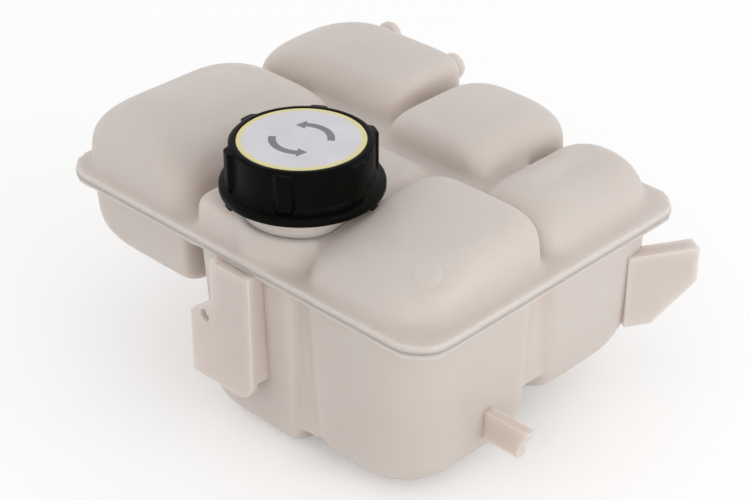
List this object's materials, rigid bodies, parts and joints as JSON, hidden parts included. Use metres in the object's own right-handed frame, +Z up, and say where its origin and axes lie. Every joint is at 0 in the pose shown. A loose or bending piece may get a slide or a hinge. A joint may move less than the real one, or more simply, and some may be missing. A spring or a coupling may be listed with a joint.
{
  "type": "coolant expansion tank",
  "caption": "Expansion tank for engine coolant: two welded half shells of soft lobes, a screw cap with pressure and vacuum valves, hose nipples, an outlet and mounting lugs.",
  "frame": {"origin": "under the middle of the whole box, on the plane that the tank stands on", "axes": "+X along the long front edge towards the side hook, +Y towards the hose nipples, +Z up"},
  "size_m": [0.224, 0.1816, 0.1315],
  "materials": {
    "milky_plastic": "satin, translucent",
    "black_plastic": "satin",
    "rubber": "matte",
    "steel": "bright",
    "brass": "turned"
  },
  "bodies": {
    "tank": {"upper_shell": "milky_plastic", "lower_shell": "milky_plastic", "neck_tube": "milky_plastic"},
    "valve_insert": {"valve_housing": "black_plastic", "neck_gasket": "rubber", "spring_retainer": "steel", "pressure_spring": "steel"},
    "cap": {"cap_cover": "black_plastic"},
    "pressure_valve": {"pressure_plate": "steel", "pressure_seal": "rubber", "vacuum_spring": "steel"},
    "vacuum_valve": {"vacuum_valve": "brass"}
  },
  "joints": [
    {"name": "cap_lift", "type": "slide", "parent": "tank", "child": "valve_insert", "axis": [0, 0, 1], "range_m": [0, 0.01]},
    {"name": "cap_turn", "type": "hinge", "parent": "valve_insert", "child": "cap", "pos_m": [0.0074, -0.0578, 0.12], "axis": [0, 0, 1], "range_deg": [0, 720]},
    {"name": "pressure_valve_lift", "type": "slide", "parent": "valve_insert", "child": "pressure_valve", "axis": [0, 0, 1], "range_m": [0, 0.0025], "stiffness_N_per_m": 4000, "springref_m": -0.01, "deforming": ["pressure_spring"]},
    {"name": "vacuum_valve_drop", "type": "slide", "parent": "pressure_valve", "child": "vacuum_valve", "axis": [0, 0, -1], "range_m": [0, 0.0015], "stiffness_N_per_m": 200, "springref_m": -0.002, "deforming": ["vacuum_spring"]}
  ],
  "couplings": [
    {"joint": "cap_lift", "follows": "cap_turn", "m_per_rad": 0.00079577}
  ]
}
